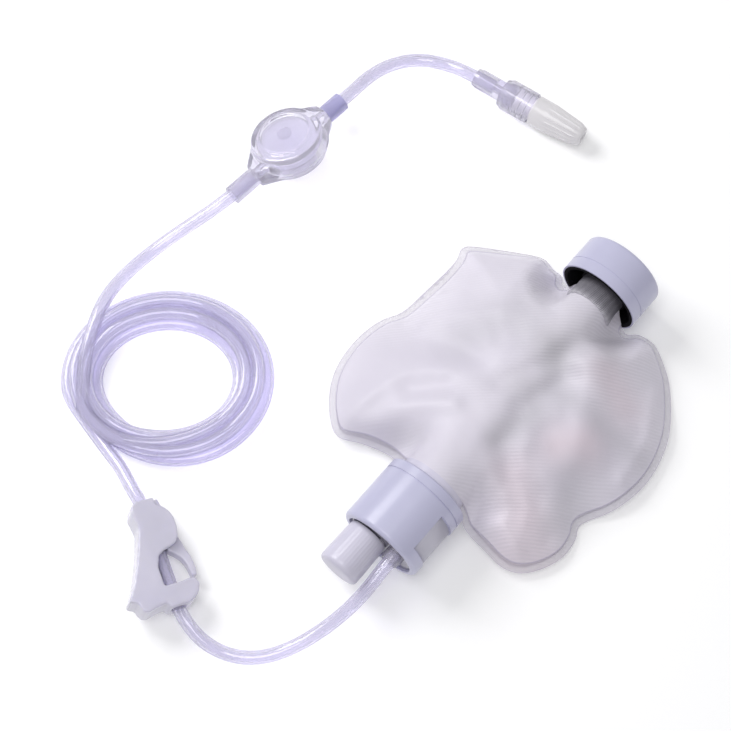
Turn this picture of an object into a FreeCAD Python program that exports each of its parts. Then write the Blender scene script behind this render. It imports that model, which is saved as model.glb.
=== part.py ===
"""Soft-shell elastomeric infusion pump with its tubing set.

The pump lies along +Y on the plane z = 0: fill end at -Y, top cap at +Y, balloon and film cover
between them. The tube leaves the fill end and runs through a pinch clamp, a flat coil and an
in-line filter to a male luer-lock connector. Millimetres, +Z up, origin under the pump's middle.
"""
import FreeCAD, Part
import math
import os
import Sketcher

Vector = FreeCAD.Vector
Rotation = FreeCAD.Rotation

# ---------------------------------------------------------------- driving dimensions
SIZES = {
    # pump axis and end caps
    "axis_height": 12.85, "cap_radius": 12.85, "cap_edge": 1.2,
    "lower_end": -48.2, "lower_split": -30.3, "lower_mouth": -26.8,
    "lower_bore": 11.0, "panel_depth": 0.5, "panel_half_angle": 44.0,
    "panel_start": -44.6, "panel_stop": -32.6,
    "top_mouth": 49.3, "top_end": 61.8, "top_bore": 11.6, "top_floor": 60.2,
    "rim_line": 52.7, "rim_line_width": 0.35, "rim_line_depth": 0.12,
    # port block and its passages
    "block_radius": 10.95, "block_face": -47.5, "block_shoulder": -31.0,
    "neck_plug_radius": 9.6, "manifold_radius": 7.4, "manifold_floor": -34.0,
    "manifold_top": -32.0, "fill_axis": -4.2, "outlet_axis": 5.0,
    "spout_seat": -42.0, "valve_chamber_top": -38.6, "valve_chamber_radius": 2.85,
    "passage_radius": 1.1,
    # fill port, its valve and its cap
    "spout_radius": 3.3, "spout_tip": -58.6, "port_radius": 2.1, "port_depth": 8.0,
    "port_back_radius": 2.35, "valve_radius": 2.55, "valve_hub_radius": 1.2, "valve_nub_radius": 0.5,
    "valve_nub_height": 0.8,
    "valve_thickness": 0.9, "valve_gap": 0.05,
    "fill_cap_radius": 6.0, "fill_cap_tip_radius": 6.35, "fill_cap_end": -61.4,
    "fill_cap_mouth": -47.8, "fill_cap_floor": -60.1, "fill_cap_bore": 3.4,
    "fill_cap_sleeve": 4.3, "fill_cap_shell": 5.2, "liner_radius": 3.3,
    "liner_back": -60.0, "liner_front": -58.8,
    # rod, balloon and film necks
    "rod_radius": 3.5, "rod_bore": 1.5, "rod_start": -32.0, "rod_stop": 52.6,
    "balloon_radius": 6.2, "balloon_neck": 5.0, "balloon_bore": 3.52,
    "balloon_start": -25.5, "balloon_stop": 45.6,
    "band_outer": 6.1, "band_width": 3.0,
    "neck_film_outer": 10.1, "ring_bore": 10.15, "top_plug_radius": 6.4,
    "top_neck_outer": 6.9, "top_band_outer": 7.8,
    # film cover
    "film": 0.5, "weld_width": 2.0, "film_clear": 0.35,
    # tube and sleeves
    "tube_radius": 2.0, "tube_hole": 2.03,
    "outlet_sleeve_radius": 2.9, "outlet_sleeve_end": -50.2,
    # pinch clamp, its own frame: along the tube, out towards the arm, across
    "clamp_x": -45.5, "clamp_y": -89.2, "clamp_z": 6.8, "clamp_yaw": -28.7,
    "clamp_roll": 164.0, "clamp_half": 16.1, "clamp_width": 8.0, "slot_half": 2.3,
    "slot_length": 19.6, "slot_start": -14.8, "arm_width": 3.5,
    # coil
    "coil_x": -80.8, "coil_y": -48.1, "coil_turn": 40.6, "coil_major": 31.0,
    "coil_minor": 27.5, "coil_band": 12.8, "coil_thick": 7.9, "coil_clear": 0.1,
    "coil_end_radius": 18.5,
    # in-line filter, its own frame: across, along the flow, out of its face
    "filter_x": -101.4, "filter_y": 29.4, "filter_z": 8.0, "filter_yaw": -5.3,
    "filter_roll": -22.0, "filter_radius": 12.3, "base_height": 3.4, "cover_height": 5.4,
    "filter_taper": 1.6, "filter_edge": 0.7, "nose_root": 9.2, "nose_root_half": 7.8,
    "nose_slope": 1.6, "base_nose_height": 3.0, "cover_nose_height": 4.2, "nose_end": 14.5,
    "nose_half": 3.3, "nose_tip_height": 3.1, "nose_tip_slope": 1.0,
    "chamber_radius": 9.4, "chamber_depth": 2.2, "ring_radius": 8.3, "ring_width": 0.7,
    "ring_height": 0.5, "membrane_radius": 9.2, "membrane": 0.4,
    "vent_radius": 2.2, "vent_height": 0.5, "inlet_sleeve_end": -23.5,
    "outlet_sleeve_far": 21.5, "filter_sleeve_radius": 2.9,
    # luer connector, its own frame: along +Y from the tube
    "luer_x": -74.6, "luer_y": 84.9, "luer_z": 5.2, "luer_yaw": -82.0,
    "socket_radius": 3.1, "socket_mouth_radius": 2.7, "socket_length": 9.4,
    "socket_floor": 7.0, "hub_radius": 3.1, "flange_radius": 3.7, "flange_start": 11.6,
    "flange_stop": 12.8, "cone_start": 14.2, "cone_stop": 23.6, "cone_root_radius": 2.27,
    "cone_tip_radius": 1.99, "cone_bore": 0.95, "collar_start": 9.8, "collar_stop": 20.4,
    "collar_radius": 4.95, "collar_bore": 4.0, "collar_hole": 3.18, "collar_floor": 11.4,
    "luer_cap_start": 14.6, "luer_cap_stop": 37.9, "luer_cap_plug": 3.75,
    "luer_cap_radius": 4.7, "luer_cap_shoulder": 20.7, "luer_cap_tip": 3.1,
    "luer_cap_floor": 25.4, "luer_cap_hole": 1.4, "vent_plug_radius": 2.3,
    "capillary_radius": 0.9, "capillary_start": 7.2, "capillary_stop": 21.0,
}

document = FreeCAD.newDocument("infusion_pump")
sheet = document.addObject("Spreadsheet::Sheet", "sizes")
for row, (alias, size) in enumerate(SIZES.items(), start=1):
    sheet.set("A%d" % row, alias)
    sheet.set("B%d" % row, repr(size))
    sheet.setAlias("B%d" % row, alias)
document.recompute()

nodes = {}


def terms(words):
    """A sum such as 'cap_radius - 0.5' as (sign, name or number) pairs."""
    sign = 1
    for word in words.split():
        if word in ("+", "-"):
            sign = 1 if word == "+" else -1
        else:
            yield sign, word
            sign = 1


def amount(words):
    """The value of such a sum in millimetres or degrees."""
    return sum(sign * (SIZES[word] if word in SIZES else float(word)) for sign, word in terms(words))


def bound(words):
    """The same sum as an expression on the sheet's cells."""
    return " ".join("sizes." + word if word in SIZES else word for word in words.split())


def is_zero(words):
    return words.strip() == "0"


# ---------------------------------------------------------------- sketches and features
def new_body(node):
    body = document.addObject("PartDesign::Body", node)
    body.Label = node
    nodes[node] = body
    return body


def new_sketch(body, role, name):
    sketch = body.newObject("Sketcher::SketchObject", name)
    plane = next(part for part in body.Origin.OriginFeatures if part.Role == role)
    sketch.AttachmentSupport = [(plane, "")]
    sketch.MapMode = "FlatFace"
    return sketch


def place_point(sketch, geometry, vertex, across, along):
    """Hold one vertex at two sums measured from the sketch's origin."""
    for kind, words, axis in (("DistanceX", across, -2), ("DistanceY", along, -1)):
        if is_zero(words):
            sketch.addConstraint(Sketcher.Constraint("PointOnObject", geometry, vertex, axis))
            continue
        rule = Sketcher.Constraint(kind, -1, 1, geometry, vertex, amount(words))
        index = sketch.addConstraint(rule)
        sketch.setExpression("Constraints[%d]" % index, bound(words))


def draw_polygon(sketch, points):
    """A closed outline through points given as pairs of sums."""
    corners = [Vector(amount(across), amount(along), 0) for across, along in points]
    first = sketch.GeometryCount
    for start, stop in zip(corners, corners[1:] + corners[:1]):
        sketch.addGeometry(Part.LineSegment(start, stop), False)
    for step, (across, along) in enumerate(points):
        following = first + (step + 1) % len(points)
        sketch.addConstraint(Sketcher.Constraint("Coincident", first + step, 2, following, 1))
        place_point(sketch, first + step, 1, across, along)


def draw_circle(sketch, across, along, radius):
    centre = Vector(amount(across), amount(along), 0)
    index = sketch.addGeometry(Part.Circle(centre, Vector(0, 0, 1), amount(radius)), False)
    place_point(sketch, index, 3, across, along)
    rule = sketch.addConstraint(Sketcher.Constraint("Radius", index, amount(radius)))
    sketch.setExpression("Constraints[%d]" % rule, bound(radius))


def turned(node, profile, place=None):
    """A body turned about its own Y axis from a (radius, along) profile."""
    body = new_body(node)
    sketch = new_sketch(body, "XY_Plane", node + "_profile")
    draw_polygon(sketch, profile)
    turn = body.newObject("PartDesign::Revolution", node + "_turn")
    turn.Profile = sketch
    turn.ReferenceAxis = (sketch, ["V_Axis"])
    turn.Angle = 360.0
    sketch.Visibility = False
    if place is not None:
        body.Placement = place
    return body


def bored(body, axis, profile):
    """Turn a passage out of a body, about a line along Y at the given X."""
    sketch = new_sketch(body, "XY_Plane", body.Name + "_passage")
    draw_polygon(sketch, [(axis + " + " + radius, along) for radius, along in profile])
    line = Part.LineSegment(Vector(amount(axis), 0, 0), Vector(amount(axis), 10, 0))
    index = sketch.addGeometry(line, True)
    place_point(sketch, index, 1, axis, "0")
    sketch.addConstraint(Sketcher.Constraint("Vertical", index))
    before = body.Tip.Shape.Volume
    cut = body.newObject("PartDesign::Groove", body.Name + "_groove")
    cut.Profile = sketch
    cut.ReferenceAxis = (sketch, ["Axis0"])
    cut.Angle = 360.0
    document.recompute()
    if cut.Shape.Volume >= before:
        raise RuntimeError("passage cuts nothing in " + body.Label)


def extruded(node, draw, role, depth, place):
    """A body padded evenly to both sides of one of its planes."""
    body = new_body(node)
    sketch = new_sketch(body, role, node + "_outline")
    draw(sketch)
    pad = body.newObject("PartDesign::Pad", node + "_pad")
    pad.Profile = sketch
    pad.Midplane = True
    pad.setExpression("Length", bound(depth))
    body.Placement = place
    document.recompute()
    return body


def pocketed(body, role, draw, name):
    """Cut a sketch right through a body."""
    before = body.Tip.Shape.Volume
    sketch = new_sketch(body, role, name + "_sketch")
    draw(sketch)
    cut = body.newObject("PartDesign::Pocket", name)
    cut.Profile = sketch
    cut.Type = "ThroughAll"
    cut.Midplane = True
    document.recompute()
    if cut.Shape.Volume >= before:
        raise RuntimeError(name + " cuts nothing")


def ring_edges(body, wanted):
    """Names of the circular edges at the given (radius, along) places."""
    names = []
    for number, edge in enumerate(body.Tip.Shape.Edges, start=1):
        curve = edge.Curve
        if not isinstance(curve, Part.Circle):
            continue
        if any(abs(curve.Radius - radius) < 0.02 and abs(curve.Center.y - along) < 0.02
               for radius, along in wanted):
            names.append("Edge%d" % number)
    return names


def rounded(body, radius, wanted):
    """Fillet the circular edges at the given (radius, along) places."""
    document.recompute()
    base, names = body.Tip, ring_edges(body, wanted)
    fillet = body.newObject("PartDesign::Fillet", body.Name + "_round")
    fillet.Base = (base, names)
    fillet.setExpression("Radius", bound(radius))
    document.recompute()


# ---------------------------------------------------------------- frames of the groups
PUMP = FreeCAD.Placement(Vector(0, 0, amount("axis_height")), Rotation())
FILL = FreeCAD.Placement(Vector(amount("fill_axis"), 0, amount("axis_height")), Rotation())
OUTLET = FreeCAD.Placement(Vector(amount("outlet_axis"), 0, amount("axis_height")), Rotation())


def group_place(prefix, roll_axis):
    """Yaw about Z, then roll about one of the group's own axes."""
    spin = Rotation(Vector(0, 0, 1), amount(prefix + "_yaw"))
    if roll_axis is not None:
        spin = spin.multiply(Rotation(roll_axis, amount(prefix + "_roll")))
    return FreeCAD.Placement(Vector(*[amount(prefix + "_" + axis) for axis in "xyz"]), spin)


CLAMP = group_place("clamp", Vector(1, 0, 0))
FILTER = group_place("filter", Vector(0, 1, 0))
LUER = group_place("luer", None)


# ---------------------------------------------------------------- pump: caps and ports
def make_lower_cap():
    profile = [("lower_bore", "lower_end"), ("cap_radius", "lower_end"),
               ("cap_radius", "lower_split"), ("lower_bore", "lower_split")]
    body = turned("lower_cap", profile, PUMP)
    rounded(body, "cap_edge", [(amount("cap_radius"), amount("lower_end"))])
    half = math.sin(math.radians(amount("panel_half_angle"))) * amount("cap_radius")
    middle = (SIZES["panel_start"] + SIZES["panel_stop"]) / 2
    length = SIZES["panel_stop"] - SIZES["panel_start"]
    slot = document.addObject("Part::Box", "panel_slot")
    slot.Length = SIZES["cap_radius"]
    slot.Width = length
    slot.Height = 2 * half
    slot.Placement.Base = Vector(0, middle - length / 2, SIZES["axis_height"] - half)
    core = document.addObject("Part::Cylinder", "panel_core")
    core.setExpression("Radius", bound("cap_radius - panel_depth"))
    core.Height = length
    core.Placement = FreeCAD.Placement(
        Vector(0, middle + length / 2, SIZES["axis_height"]), Rotation(Vector(1, 0, 0), 90))
    sector = document.addObject("Part::Cut", "panel_sector")
    sector.Base = slot
    sector.Tool = core
    cap = document.addObject("Part::Cut", "lower_cap_with_panel")
    cap.Base = body
    cap.Tool = sector
    body.Label = "lower_cap_blank"
    cap.Label = "lower_cap"
    nodes["lower_cap"] = cap


def make_lower_clamp_ring():
    turned("lower_clamp_ring", [
        ("ring_bore", "lower_split"), ("cap_radius - 0.25", "lower_split"),
        ("cap_radius - 0.25", "lower_split + 0.4"), ("cap_radius", "lower_split + 0.4"),
        ("cap_radius", "lower_mouth - 0.5"), ("cap_radius - 0.5", "lower_mouth"),
        ("ring_bore", "lower_mouth")], PUMP)


def make_port_block():
    body = turned("port_block", [
        ("0", "block_face"), ("block_radius", "block_face"), ("block_radius", "block_shoulder"),
        ("neck_plug_radius", "block_shoulder"), ("neck_plug_radius", "lower_mouth"),
        ("rod_radius", "lower_mouth"), ("rod_radius", "manifold_top"),
        ("manifold_radius", "manifold_top"), ("manifold_radius", "manifold_floor"),
        ("0", "manifold_floor")], PUMP)
    document.recompute()
    bored(body, "fill_axis", [
        ("0", "block_face - 1"), ("spout_radius", "block_face - 1"), ("spout_radius", "spout_seat"),
        ("valve_chamber_radius", "spout_seat"), ("valve_chamber_radius", "valve_chamber_top"),
        ("passage_radius", "valve_chamber_top"), ("passage_radius", "manifold_floor + 0.5"),
        ("0", "manifold_floor + 0.5")])
    bored(body, "outlet_axis", [
        ("0", "block_face - 1"), ("outlet_sleeve_radius", "block_face - 1"),
        ("outlet_sleeve_radius", "spout_seat"), ("passage_radius", "spout_seat"),
        ("passage_radius", "manifold_floor + 0.5"), ("0", "manifold_floor + 0.5")])


def make_fill_port():
    turned("fill_port", [
        ("port_radius", "spout_tip"), ("spout_radius", "spout_tip"),
        ("spout_radius", "spout_seat"), ("port_back_radius", "spout_seat"),
        ("port_back_radius", "spout_tip + port_depth"), ("port_radius", "spout_tip + port_depth")], FILL)


def make_fill_valve_disc():
    turned("fill_valve_disc", [
        ("0", "spout_seat + valve_gap"), ("valve_radius", "spout_seat + valve_gap"),
        ("valve_radius", "spout_seat + valve_gap + valve_thickness"),
        ("valve_hub_radius", "spout_seat + valve_gap + valve_thickness"),
        ("valve_nub_radius", "spout_seat + valve_gap + valve_thickness + valve_nub_height"),
        ("0", "spout_seat + valve_gap + valve_thickness + valve_nub_height")], FILL)


def make_fill_cap():
    body = turned("fill_cap", [
        ("0", "fill_cap_end"), ("fill_cap_tip_radius", "fill_cap_end"),
        ("fill_cap_radius", "fill_cap_mouth"), ("fill_cap_shell", "fill_cap_mouth"),
        ("fill_cap_shell - 0.3", "fill_cap_floor"), ("fill_cap_sleeve", "fill_cap_floor"),
        ("fill_cap_sleeve", "fill_cap_mouth - 2"), ("fill_cap_bore", "fill_cap_mouth - 2"),
        ("fill_cap_bore", "fill_cap_floor"), ("0", "fill_cap_floor")], FILL)
    rounded(body, "cap_edge", [(amount("fill_cap_tip_radius"), amount("fill_cap_end"))])


def make_fill_cap_liner():
    turned("fill_cap_liner", [
        ("0", "liner_back"), ("liner_radius", "liner_back"),
        ("liner_radius", "liner_front"), ("0", "liner_front")], FILL)


def make_outlet_sleeve():
    turned("outlet_sleeve", [
        ("tube_hole", "outlet_sleeve_end"), ("outlet_sleeve_radius - 0.4", "outlet_sleeve_end"),
        ("outlet_sleeve_radius", "outlet_sleeve_end + 1.5"),
        ("outlet_sleeve_radius", "spout_seat"), ("tube_hole", "spout_seat")], OUTLET)


# ---------------------------------------------------------------- pump: rod, balloon, necks
def make_core_tube():
    turned("core_tube", [
        ("rod_bore", "rod_start"), ("rod_radius", "rod_start"),
        ("rod_radius", "rod_stop"), ("rod_bore", "rod_stop")], PUMP)


def make_reservoir():
    start, stop = "balloon_start", "balloon_stop"
    turned("elastomer_reservoir", [
        ("balloon_bore", start), ("balloon_neck", start), ("balloon_neck", start + " + 6"),
        ("balloon_radius", start + " + 13"), ("balloon_radius", stop + " - 13"),
        ("balloon_neck", stop + " - 6"), ("balloon_neck", stop), ("balloon_bore", stop),
        ("balloon_bore", stop + " - 6"), ("balloon_radius - 0.8", stop + " - 13.2"),
        ("balloon_radius - 0.8", start + " + 13.2"), ("balloon_bore", start + " + 6")], PUMP)


def make_reservoir_bands():
    for node, start in (("reservoir_band_lower", "balloon_start + 1.5"),
                        ("reservoir_band_upper", "balloon_stop - 4.5")):
        turned(node, [
            ("balloon_neck", start), ("band_outer", start),
            ("band_outer", start + " + band_width"),
            ("balloon_neck", start + " + band_width")], PUMP)


def make_film_necks():
    turned("film_neck_lower", [
        ("neck_plug_radius", "lower_split - 0.3"), ("neck_film_outer", "lower_split - 0.3"),
        ("neck_film_outer", "lower_mouth + 2.4"), ("neck_plug_radius", "lower_mouth + 2.4")], PUMP)
    turned("film_neck_upper", [
        ("top_plug_radius", "top_mouth - 2.6"), ("top_neck_outer", "top_mouth - 2.6"),
        ("top_neck_outer", "top_mouth + 6"), ("top_plug_radius", "top_mouth + 6")], PUMP)


def make_top_plug():
    turned("top_plug", [
        ("rod_radius", "top_mouth"), ("top_plug_radius", "top_mouth"),
        ("top_plug_radius", "top_mouth + 6"), ("top_neck_outer", "top_mouth + 6"),
        ("top_neck_outer", "top_mouth + 7.5"), ("6", "top_mouth + 7.5"), ("6", "top_floor"),
        ("0", "top_floor"), ("0", "rod_stop"), ("rod_radius", "rod_stop")], PUMP)


def make_top_clamp_band():
    turned("top_clamp_band", [
        ("top_neck_outer", "top_mouth + 2.5"), ("top_band_outer", "top_mouth + 2.5"),
        ("top_band_outer", "top_mouth + 5.5"), ("top_neck_outer", "top_mouth + 5.5")], PUMP)


def make_top_cap():
    body = turned("top_cap", [
        ("top_bore", "top_mouth"), ("cap_radius", "top_mouth"), ("cap_radius", "rim_line"),
        ("cap_radius - rim_line_depth", "rim_line"),
        ("cap_radius - rim_line_depth", "rim_line + rim_line_width"),
        ("cap_radius", "rim_line + rim_line_width"), ("cap_radius", "top_end"),
        ("0", "top_end"), ("0", "top_floor"), ("top_bore", "top_floor")], PUMP)
    rounded(body, "cap_edge", [(amount("cap_radius"), amount("top_end"))])


# ---------------------------------------------------------------- pump: film cover
# Outline of the cover lying flat, seen from above, clockwise from the top cap's right side.
FILM_OUTLINE = [
    (11.5, 49.0), (19.0, 51.2), (28.3, 47.6), (36.8, 39.5), (43.4, 29.3), (46.4, 18.4),
    (45.4, 8.0), (41.4, 0.8), (39.2, -6.0), (40.8, -14.5), (38.2, -22.5), (32.5, -28.0),
    (24.5, -29.0), (16.0, -27.8), (10.5, -25.8), (0.0, -25.6), (-11.5, -25.6), (-20.0, -26.6),
    (-30.0, -29.6), (-37.5, -26.0), (-43.0, -18.4), (-45.6, -11.0), (-46.4, -3.0),
    (-45.4, 6.0), (-43.4, 13.5), (-43.0, 22.0), (-41.4, 30.6), (-40.6, 38.6), (-35.0, 44.4),
    (-28.0, 48.4), (-19.5, 51.6), (-11.5, 49.0), (0.0, 48.6)]
FILM_MIDDLE = 11.0
# Height, width factor and length factor of the upper sheet's contours, then the lower sheet's.
UPPER_CONTOURS = [(3.2, 1.0, 1.0), (6.5, 0.90, 0.985), (11.5, 0.72, 0.97), (17.0, 0.50, 0.955),
                  (21.0, 0.30, 0.945), (23.2, 0.13, 0.935)]
LOWER_CONTOURS = [(3.2, 1.0, 1.0), (1.6, 0.96, 0.98), (0.4, 0.84, 0.93)]


def contour(height, wide, long, inset=0.0):
    """The cover's outline, scaled and pulled in, as a closed wire at one height."""
    wide -= inset / max(x for x, y in FILM_OUTLINE)
    long -= inset / (max(y for x, y in FILM_OUTLINE) - FILM_MIDDLE)
    points = [Vector(x * wide, FILM_MIDDLE + (y - FILM_MIDDLE) * long, height)
              for x, y in FILM_OUTLINE]
    curve = Part.BSplineCurve()
    curve.interpolate(points, PeriodicFlag=True)
    return Part.Wire(curve.toShape())


def make_film_sheet(node, contours, side):
    """One welded sheet: the loft of its contours less a loft one film thickness inside."""
    film = SIZES["film"]
    outer = Part.makeLoft([contour(*level) for level in contours], True, False)
    weld = contours[0]
    inner_levels = [contour(weld[0], weld[1], weld[2], SIZES["weld_width"])]
    inner_levels += [contour(height - side * film, wide, long, film * 1.4)
                     for height, wide, long in contours[1:]]
    sheet_shape = outer.cut(Part.makeLoft(inner_levels, True, False))
    neck, clear = SIZES["neck_film_outer"] + 0.02, SIZES["cap_radius"] + SIZES["film_clear"]
    low, high = SIZES["lower_mouth"] + SIZES["film_clear"], SIZES["top_mouth"] - SIZES["film_clear"]
    for radius, start, stop in ((neck, -60.0, -20.0), (neck, 43.0, 70.0),
                                (clear, -60.0, low), (clear, high, 70.0)):
        middle = Vector(0, start, SIZES["axis_height"])
        sheet_shape = sheet_shape.cut(
            Part.makeCylinder(radius, stop - start, middle, Vector(0, 1, 0)))
    solids = sorted(sheet_shape.Solids, key=lambda solid: solid.Volume)
    feature = document.addObject("Part::Feature", node)
    feature.Shape = solids[-1]
    feature.Label = node
    nodes[node] = feature


# ---------------------------------------------------------------- line: tube
# Points that the tube's centre line turns at, from the outlet on.
OUTLET_ROUTE = [
    (5.0, -43.6, 12.85), (5.0, -51.6, 12.85), (5.4, -60.0, 10.8), (4.3, -68.2, 7.6),
    (2.2, -76.4, 5.0), (-0.8, -84.0, 3.2), (-4.4, -90.2, 2.5), (-9.2, -95.0, 2.6),
    (-14.9, -98.0, 3.6), (-20.9, -99.2, 5.2), (-26.6, -98.5, 6.6)]
LEAD_ROUTE = [
    (-65.6, -79.6, 6.3), (-72.2, -77.0, 4.6), (-79.4, -75.4, 3.0), (-87.0, -73.2, 2.6),
    (-94.0, -69.0, 2.6)]
EXIT_ROUTE = [
    (-101.2, -61.5, 6.6), (-106.2, -52.0, 8.2), (-110.6, -42.0, 6.6), (-112.4, -30.6, 3.0),
    (-110.9, -18.2, 2.6), (-107.6, -7.6, 5.0)]
PATIENT_ROUTE = [
    (-98.7, 63.2, 7.6), (-97.4, 72.0, 4.2), (-92.9, 79.2, 2.5), (-85.2, 83.2, 3.1)]


def on_clamp_axis(along):
    """A point on the clamp's tube axis, this far from its middle towards its tail."""
    return CLAMP.multVec(Vector(along, 0, 0))


def on_filter_axis(along):
    return FILTER.multVec(Vector(0, along, 0))


def on_luer_axis(along):
    return LUER.multVec(Vector(0, along, 0))


def tangent_path(points, name):
    """Straight runs joined by tangent arcs, each as large as its two runs allow."""
    points = [Vector(*point) for point in points]
    edges = []
    reached = points[0]
    radii = []
    for before, corner, after in zip(points, points[1:], points[2:]):
        incoming = (corner - before).normalize()
        outgoing = (after - corner).normalize()
        half_turn = incoming.getAngle(outgoing) / 2
        trim = 0.45 * min(before.distanceToPoint(corner), corner.distanceToPoint(after))
        radius = trim / math.tan(half_turn)
        radii.append(round(radius, 1))
        start = corner - incoming * trim
        stop = corner + outgoing * trim
        inward = (outgoing - incoming).normalize()
        middle = corner + inward * (radius / math.cos(half_turn) - radius)
        edges.append(Part.LineSegment(reached, start).toShape())
        edges.append(Part.Arc(start, middle, stop).toShape())
        reached = stop
    edges.append(Part.LineSegment(reached, points[-1]).toShape())
    if radii:
        print(name, "arc radii", radii)
    return Part.Wire(edges), (points[1] - points[0]).normalize()


def make_tube(node, points):
    """A plain round tube stretch along a path of runs and arcs."""
    path, heading = tangent_path(points, node)
    circle = Part.Circle(Vector(*points[0]), heading, SIZES["tube_radius"]).toShape()
    shape = path.makePipeShell([Part.Wire(circle)], True, True)
    expected = math.pi * SIZES["tube_radius"] ** 2 * path.Length
    if abs(shape.Volume / expected - 1) > 0.01:
        raise RuntimeError(node + " has the wrong volume")
    print(node, "length", round(path.Length, 1))
    feature = document.addObject("Part::Feature", node)
    feature.Shape = shape
    feature.Label = node
    nodes[node] = feature


def make_line_tubes():
    half = SIZES["clamp_half"]
    tail, head = on_clamp_axis(half), on_clamp_axis(-half)
    make_tube("outlet_tube", OUTLET_ROUTE + [tuple(tail)])
    make_tube("pinch_tube", [tuple(head), tuple(tail)])
    make_tube("coil_lead_tube", [tuple(head)] + LEAD_ROUTE)
    make_tube("coil_exit_tube", EXIT_ROUTE + [
        tuple(on_filter_axis(SIZES["inlet_sleeve_end"] - 3.6)),
        tuple(on_filter_axis(-SIZES["nose_end"] - 1.0))])
    make_tube("patient_tube", [
        tuple(on_filter_axis(SIZES["nose_end"] + 1.0)),
        tuple(on_filter_axis(SIZES["outlet_sleeve_far"] + 3.4))] + PATIENT_ROUTE + [
        tuple(on_luer_axis(-2.0)), tuple(on_luer_axis(SIZES["socket_floor"] - 0.2))])


def make_tubing_coil():
    """The coil's outer shape: a flat round-edged band swept round an oval of four arcs."""
    band, thick = SIZES["coil_band"], SIZES["coil_thick"]
    major, minor = SIZES["coil_major"] - band / 2, SIZES["coil_minor"] - band / 2
    end_radius = SIZES["coil_end_radius"]
    side_radius = ((major - end_radius) ** 2 + minor ** 2 - end_radius ** 2) / (
        2 * (minor - end_radius))
    shift, drop = major - end_radius, side_radius - minor
    scale = end_radius / math.hypot(shift, drop)
    join = Vector(shift + shift * scale, drop * scale, 0)
    joins = [join, Vector(-join.x, join.y, 0), Vector(-join.x, -join.y, 0), Vector(join.x, -join.y, 0)]
    tops = [Vector(0, minor, 0), Vector(-major, 0, 0), Vector(0, -minor, 0), Vector(major, 0, 0)]
    arcs = [Part.Arc(start, top, stop).toShape()
            for start, top, stop in zip(joins, tops, joins[1:] + joins[:1])]
    flat, half = (band - thick) / 2, thick / 2
    heading = (arcs[0].tangentAt(arcs[0].FirstParameter)).normalize()
    across = heading.cross(Vector(0, 0, 1))

    def corner(out, up):
        return join + across * out + Vector(0, 0, up + half)

    profile = Part.Wire([
        Part.LineSegment(corner(-flat, -half), corner(flat, -half)).toShape(),
        Part.Arc(corner(flat, -half), corner(flat + half, 0), corner(flat, half)).toShape(),
        Part.LineSegment(corner(flat, half), corner(-flat, half)).toShape(),
        Part.Arc(corner(-flat, half), corner(-flat - half, 0), corner(-flat, -half)).toShape()])
    feature = document.addObject("Part::Feature", "tubing_coil")
    feature.Shape = Part.Wire(arcs).makePipeShell([profile], True, False)
    feature.Placement = FreeCAD.Placement(
        Vector(SIZES["coil_x"], SIZES["coil_y"], SIZES["coil_clear"]),
        Rotation(Vector(0, 0, 1), SIZES["coil_turn"]))
    feature.Label = "tubing_coil"
    nodes["tubing_coil"] = feature


# ---------------------------------------------------------------- line: pinch clamp
# Side outlines: along the tube from head to tail, and out from it; the base is on the + side.
CLAMP_BASE_OUTLINE = [
    ("0 - clamp_half", "-2.7"), ("0 - clamp_half", "2.6"), ("-15.2", "4.0"), ("-13.0", "4.8"),
    ("-10.4", "4.4"), ("-8.4", "4.2"), ("-4", "5.7"), ("1.6", "8.0"), ("7", "10.7"),
    ("10.0", "12.7"), ("11.2", "13.3"), ("12.0", "12.5"), ("12.4", "11.3"), ("14.0", "10.9"),
    ("15.4", "10.1"), ("15.7", "8.8"), ("15.0", "6.4"), ("14.6", "3.4"), ("clamp_half", "2.5"),
    ("clamp_half", "-2.6"), ("15.2", "-4.6"), ("13.6", "-6.4"), ("11.6", "-7.1"),
    ("9.7", "-6.7"), ("9.2", "-4.6"), ("9.6", "-2.5"), ("9.6", "2.5"), ("4", "2.5"),
    ("0.8", "1.2"), ("-0.4", "-0.8"), ("-0.8", "-2.6"), ("-1.6", "-4.6"), ("-3.4", "-5.9"),
    ("-6.0", "-6.5"), ("-9.0", "-6.5"), ("-11.3", "-5.7"), ("-13.2", "-4.0"), ("-13.9", "-2.7")]
CLAMP_ARM_OUTLINE = [
    ("-15.8", "-3.1"), ("-9", "-2.9"), ("-3.6", "-2.9"), ("-2.4", "-2.15"), ("-0.6", "-2.15"),
    ("0.6", "-3.6"), ("2.4", "-5.2"), ("4.6", "-6.1"), ("6.6", "-6.4"), ("8.4", "-6.6"),
    ("8.5", "-7.9"), ("6", "-8.3"), ("3", "-8.0"), ("0", "-7.2"), ("-4", "-6.3"),
    ("-8", "-5.6"), ("-11", "-4.9"), ("-14", "-4.6"), ("0 - clamp_half", "-4.2")]
# Section of what is cut from the base between its cheeks: out from the tube, and across it.
ARM_SLOT = [("0", "0 - slot_half"), ("-9", "0 - slot_half"), ("-9", "slot_half"), ("0", "slot_half")]


def outline(points):
    return lambda sketch: draw_polygon(sketch, points)


def make_clamp_base():
    body = extruded("clamp_base", outline(CLAMP_BASE_OUTLINE), "XY_Plane", "clamp_width", CLAMP)
    hole = lambda sketch: draw_circle(sketch, "0", "0", "tube_hole")
    pocketed(body, "YZ_Plane", hole, "tube_way")
    before = body.Tip.Shape.Volume
    sketch = new_sketch(body, "YZ_Plane", "arm_slot_sketch")
    sketch.AttachmentOffset = FreeCAD.Placement(Vector(0, 0, SIZES["slot_start"]), Rotation())
    draw_polygon(sketch, ARM_SLOT)
    cut = body.newObject("PartDesign::Pocket", "arm_slot")
    cut.Profile = sketch
    cut.setExpression("Length", bound("slot_length"))
    cut.Reversed = True
    document.recompute()
    if cut.Shape.Volume >= before:
        raise RuntimeError("arm_slot cuts nothing")


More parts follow.
